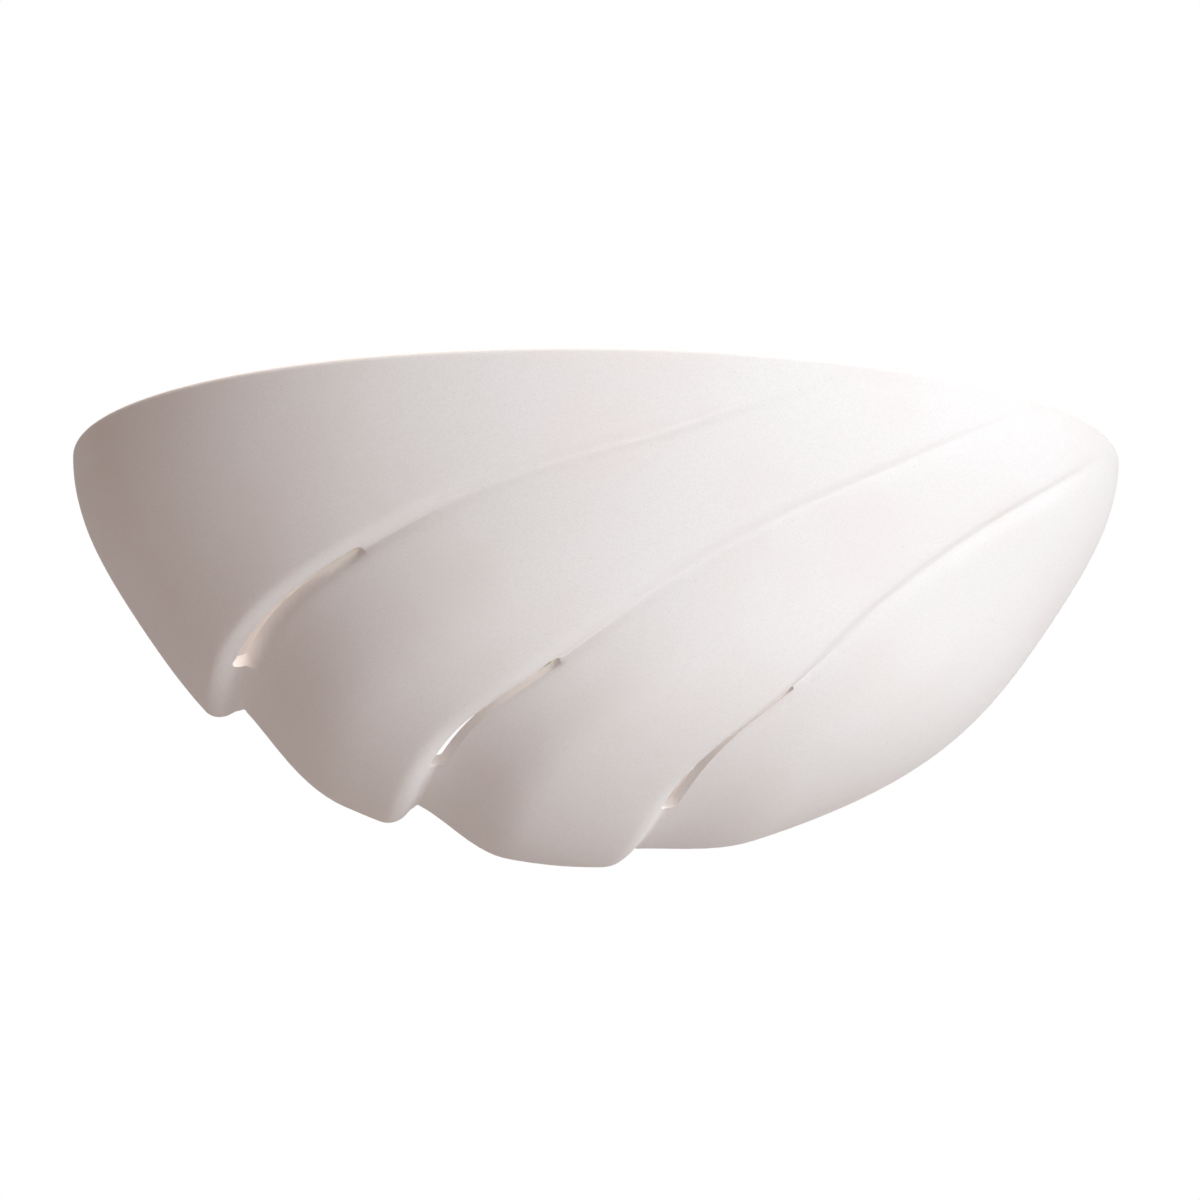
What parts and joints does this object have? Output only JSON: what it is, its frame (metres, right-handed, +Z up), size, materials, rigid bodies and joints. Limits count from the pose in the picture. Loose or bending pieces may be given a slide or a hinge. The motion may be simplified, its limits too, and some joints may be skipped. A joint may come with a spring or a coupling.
{
  "type": "wall sconce",
  "caption": "Half-bowl ceramic wall uplighter of overlapping petals with narrow light slits, on a steel wall plate with one lamp.",
  "frame": {"origin": "centre of the wall plate's back face, on the wall", "axes": "+Z up, -Y out of the wall towards the room, +X to the right as seen from the room"},
  "size_m": [0.3999, 0.1599, 0.1607],
  "materials": {
    "bisque": "matt unglazed white bisque",
    "plate_paint": "white powder paint",
    "zinc_steel": "bright zinc plate",
    "brass": "plain brass",
    "nickel_brass": "nickel-plated brass",
    "grommet_rubber": "matt black rubber",
    "porcelain": "white glazed porcelain",
    "bulb_glass": "clear blown glass",
    "cap_aluminium": "rolled aluminium",
    "insulator_glass": "black vitrite",
    "solder": "dull solder",
    "tungsten": "drawn wire",
    "block_plastic": "natural white polyamide",
    "lead_brown": "brown insulation",
    "lead_blue": "blue insulation",
    "lead_green": "green insulation with a yellow stripe"
  },
  "bodies": {
    "fitting": {"wall_plate": "plate_paint", "fixing_bushes": "brass", "cable_grommet": "grommet_rubber", "lamp_bracket": "plate_paint", "bracket_rivets": "zinc_steel", "lampholder_body": "porcelain", "lampholder_liner": "nickel_brass", "centre_contact": "brass", "lampholder_screws": "zinc_steel", "lampholder_terminals": "brass", "terminal_clamp_screws": "zinc_steel", "terminal_block": "block_plastic", "terminal_inserts": "brass", "terminal_screws": "zinc_steel", "block_screw": "zinc_steel", "earth_washer": "zinc_steel", "earth_tag": "brass", "earth_screw": "brass", "live_wire": "lead_brown", "neutral_wire": "lead_blue", "earth_wire": "lead_green"},
    "shell": {"ceramic_shell": "bisque"},
    "left_washer": {"left_clamp_washer": "zinc_steel"},
    "left_screw": {"left_thumb_screw": "nickel_brass"},
    "right_washer": {"right_clamp_washer": "zinc_steel"},
    "right_screw": {"right_thumb_screw": "nickel_brass"},
    "lamp": {"lamp_glass": "bulb_glass", "lamp_cap": "cap_aluminium", "lamp_insulator": "insulator_glass", "lamp_contact": "solder", "lamp_stem": "bulb_glass", "lamp_leads": "tungsten", "lamp_filament": "tungsten"}
  },
  "joints": [
    {"name": "shell_slide", "type": "slide", "parent": "fitting", "child": "shell", "axis": [0, -1, 0], "range_m": [0, 0.18]},
    {"name": "left_washer_slide", "type": "slide", "parent": "shell", "child": "left_washer", "axis": [0, -1, 0], "range_m": [0, 0.009]},
    {"name": "left_screw_turn", "type": "hinge", "parent": "left_washer", "child": "left_screw", "pos_m": [-0.148, -0.0221, 0.015], "axis": [0, -1, 0], "range_deg": [0, 4600]},
    {"name": "right_washer_slide", "type": "slide", "parent": "shell", "child": "right_washer", "axis": [0, -1, 0], "range_m": [0, 0.009]},
    {"name": "right_screw_turn", "type": "hinge", "parent": "right_washer", "child": "right_screw", "pos_m": [0.148, -0.0221, 0.015], "axis": [0, -1, 0], "range_deg": [0, 4600]},
    {"name": "lamp_slide", "type": "slide", "parent": "fitting", "child": "lamp", "axis": [1, 0, 0], "range_m": [0, 0.026]}
  ],
  "couplings": [
    {"joint": "left_washer_slide", "follows": "left_screw_turn", "m_per_rad": 0.00011141},
    {"joint": "right_washer_slide", "follows": "right_screw_turn", "m_per_rad": 0.00011141}
  ]
}
